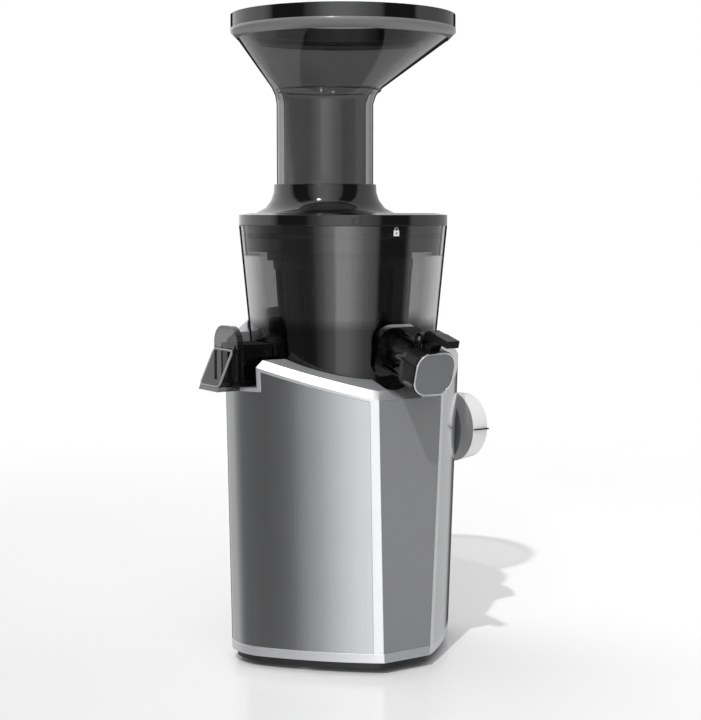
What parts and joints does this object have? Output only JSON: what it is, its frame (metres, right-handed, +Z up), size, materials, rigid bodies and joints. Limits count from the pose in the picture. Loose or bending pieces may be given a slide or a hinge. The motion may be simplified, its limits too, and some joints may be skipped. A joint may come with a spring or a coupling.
{
  "type": "cold press juicer",
  "caption": "Upright slow juicer: tapered motor base with sloping deck and knob, smoke bowl with capped spout and pulp outlet, auger and strainer inside, lid with feeding tube and funnel.",
  "frame": {"origin": "on the table under the bowl's vertical axis", "axes": "+Z up along the bowl's axis, -Y towards the juice spout, -X towards the pulp outlet, +X towards the knob"},
  "size_m": [0.206, 0.1979, 0.415],
  "materials": {
    "silver": "satin silver paint",
    "steel": "brushed upright",
    "grey_panel": "matt grey paint",
    "dark_plastic": "fine texture",
    "black_plastic": "polished",
    "rubber": "matt",
    "smoke": "clear smoke-tinted plastic",
    "hood_plastic": "smoke plastic with a silver frame",
    "cast_metal": "as cast",
    "lamination": "stacked steel sheet",
    "copper": "enamelled wire",
    "bright_steel": "ground",
    "board": "circuit board",
    "fan_plastic": "moulded",
    "gear_plastic": "moulded",
    "sheet_steel": "slotted sheet",
    "seal_grey": "soft",
    "plate_metal": "satin",
    "knob_grey": "matt",
    "chrome_ring": "polished"
  },
  "bodies": {
    "base": {"base_plate": "dark_plastic", "feet": "rubber", "plinth_band": "silver", "housing": "silver", "front_panel": "grey_panel", "left_panel": "steel", "right_panel": "steel", "rear_cover": "dark_plastic", "cord_gland": "rubber", "knob_bezel": "silver", "gear_case": "dark_plastic", "gear_cover": "dark_plastic", "motor_frame": "cast_metal", "stator": "lamination", "field_coils": "copper", "motor_bearings": "bright_steel", "shaft_bearing": "bright_steel", "shaft_seal": "rubber", "control_board": "board", "selector_switch": "dark_plastic", "base_screws": "bright_steel", "gearbox_screws": "bright_steel", "idler_axle": "bright_steel"},
    "motor": {"rotor": "lamination", "motor_shaft": "bright_steel", "motor_pinion": "bright_steel", "cooling_fan": "fan_plastic"},
    "idler": {"idler_gear": "gear_plastic"},
    "output": {"output_gear": "gear_plastic", "drive_shaft": "bright_steel"},
    "bowl": {"bowl": "smoke", "bowl_seal": "rubber", "pulp_hood": "hood_plastic", "hinge_pin": "bright_steel", "strainer_frame": "dark_plastic", "strainer_mesh": "sheet_steel"},
    "auger": {"auger": "black_plastic", "hex_sleeve": "bright_steel"},
    "lid": {"lid": "black_plastic", "lid_seal": "seal_grey", "auger_bush": "gear_plastic"},
    "hopper": {"hopper": "smoke"},
    "cap": {"cap_shell": "black_plastic", "cap_plate": "plate_metal", "cap_seal": "seal_grey"},
    "knob": {"knob_base": "knob_grey", "knob_ring": "chrome_ring", "knob_shaft": "bright_steel"}
  },
  "joints": [
    {"name": "output_spin", "type": "hinge", "parent": "base", "child": "output", "pos_m": [0, 0, 0.13], "axis": [0, 0, 1], "continuous": true},
    {"name": "motor_spin", "type": "hinge", "parent": "base", "child": "motor", "pos_m": [0, 0, 0.06], "axis": [0, 0, 1], "continuous": true},
    {"name": "idler_spin", "type": "hinge", "parent": "base", "child": "idler", "pos_m": [-0.0345, 0, 0.12], "axis": [0, 0, 1], "continuous": true},
    {"name": "bowl_lift", "type": "slide", "parent": "base", "child": "bowl", "axis": [0, 0, 1], "range_m": [0, 0.06]},
    {"name": "auger_spin", "type": "hinge", "parent": "bowl", "child": "auger", "pos_m": [0, 0, 0.22], "axis": [0, 0, 1], "continuous": true},
    {"name": "lid_lift", "type": "slide", "parent": "bowl", "child": "lid", "axis": [0, 0, 1], "range_m": [0, 0.06]},
    {"name": "hopper_lift", "type": "slide", "parent": "lid", "child": "hopper", "axis": [0, 0, 1], "range_m": [0, 0.04]},
    {"name": "cap_flip", "type": "hinge", "parent": "bowl", "child": "cap", "pos_m": [0, -0.09538, 0.2124], "axis": [-1, 0, 0], "range_deg": [0, 100]},
    {"name": "knob_turn", "type": "hinge", "parent": "base", "child": "knob", "pos_m": [0.09, 0, 0.141], "axis": [1, 0, 0], "range_deg": [-45, 45]}
  ],
  "couplings": [
    {"joint": "motor_spin", "follows": "output_spin", "ratio": 16},
    {"joint": "idler_spin", "follows": "output_spin", "ratio": -4},
    {"joint": "auger_spin", "follows": "output_spin", "ratio": 1}
  ]
}
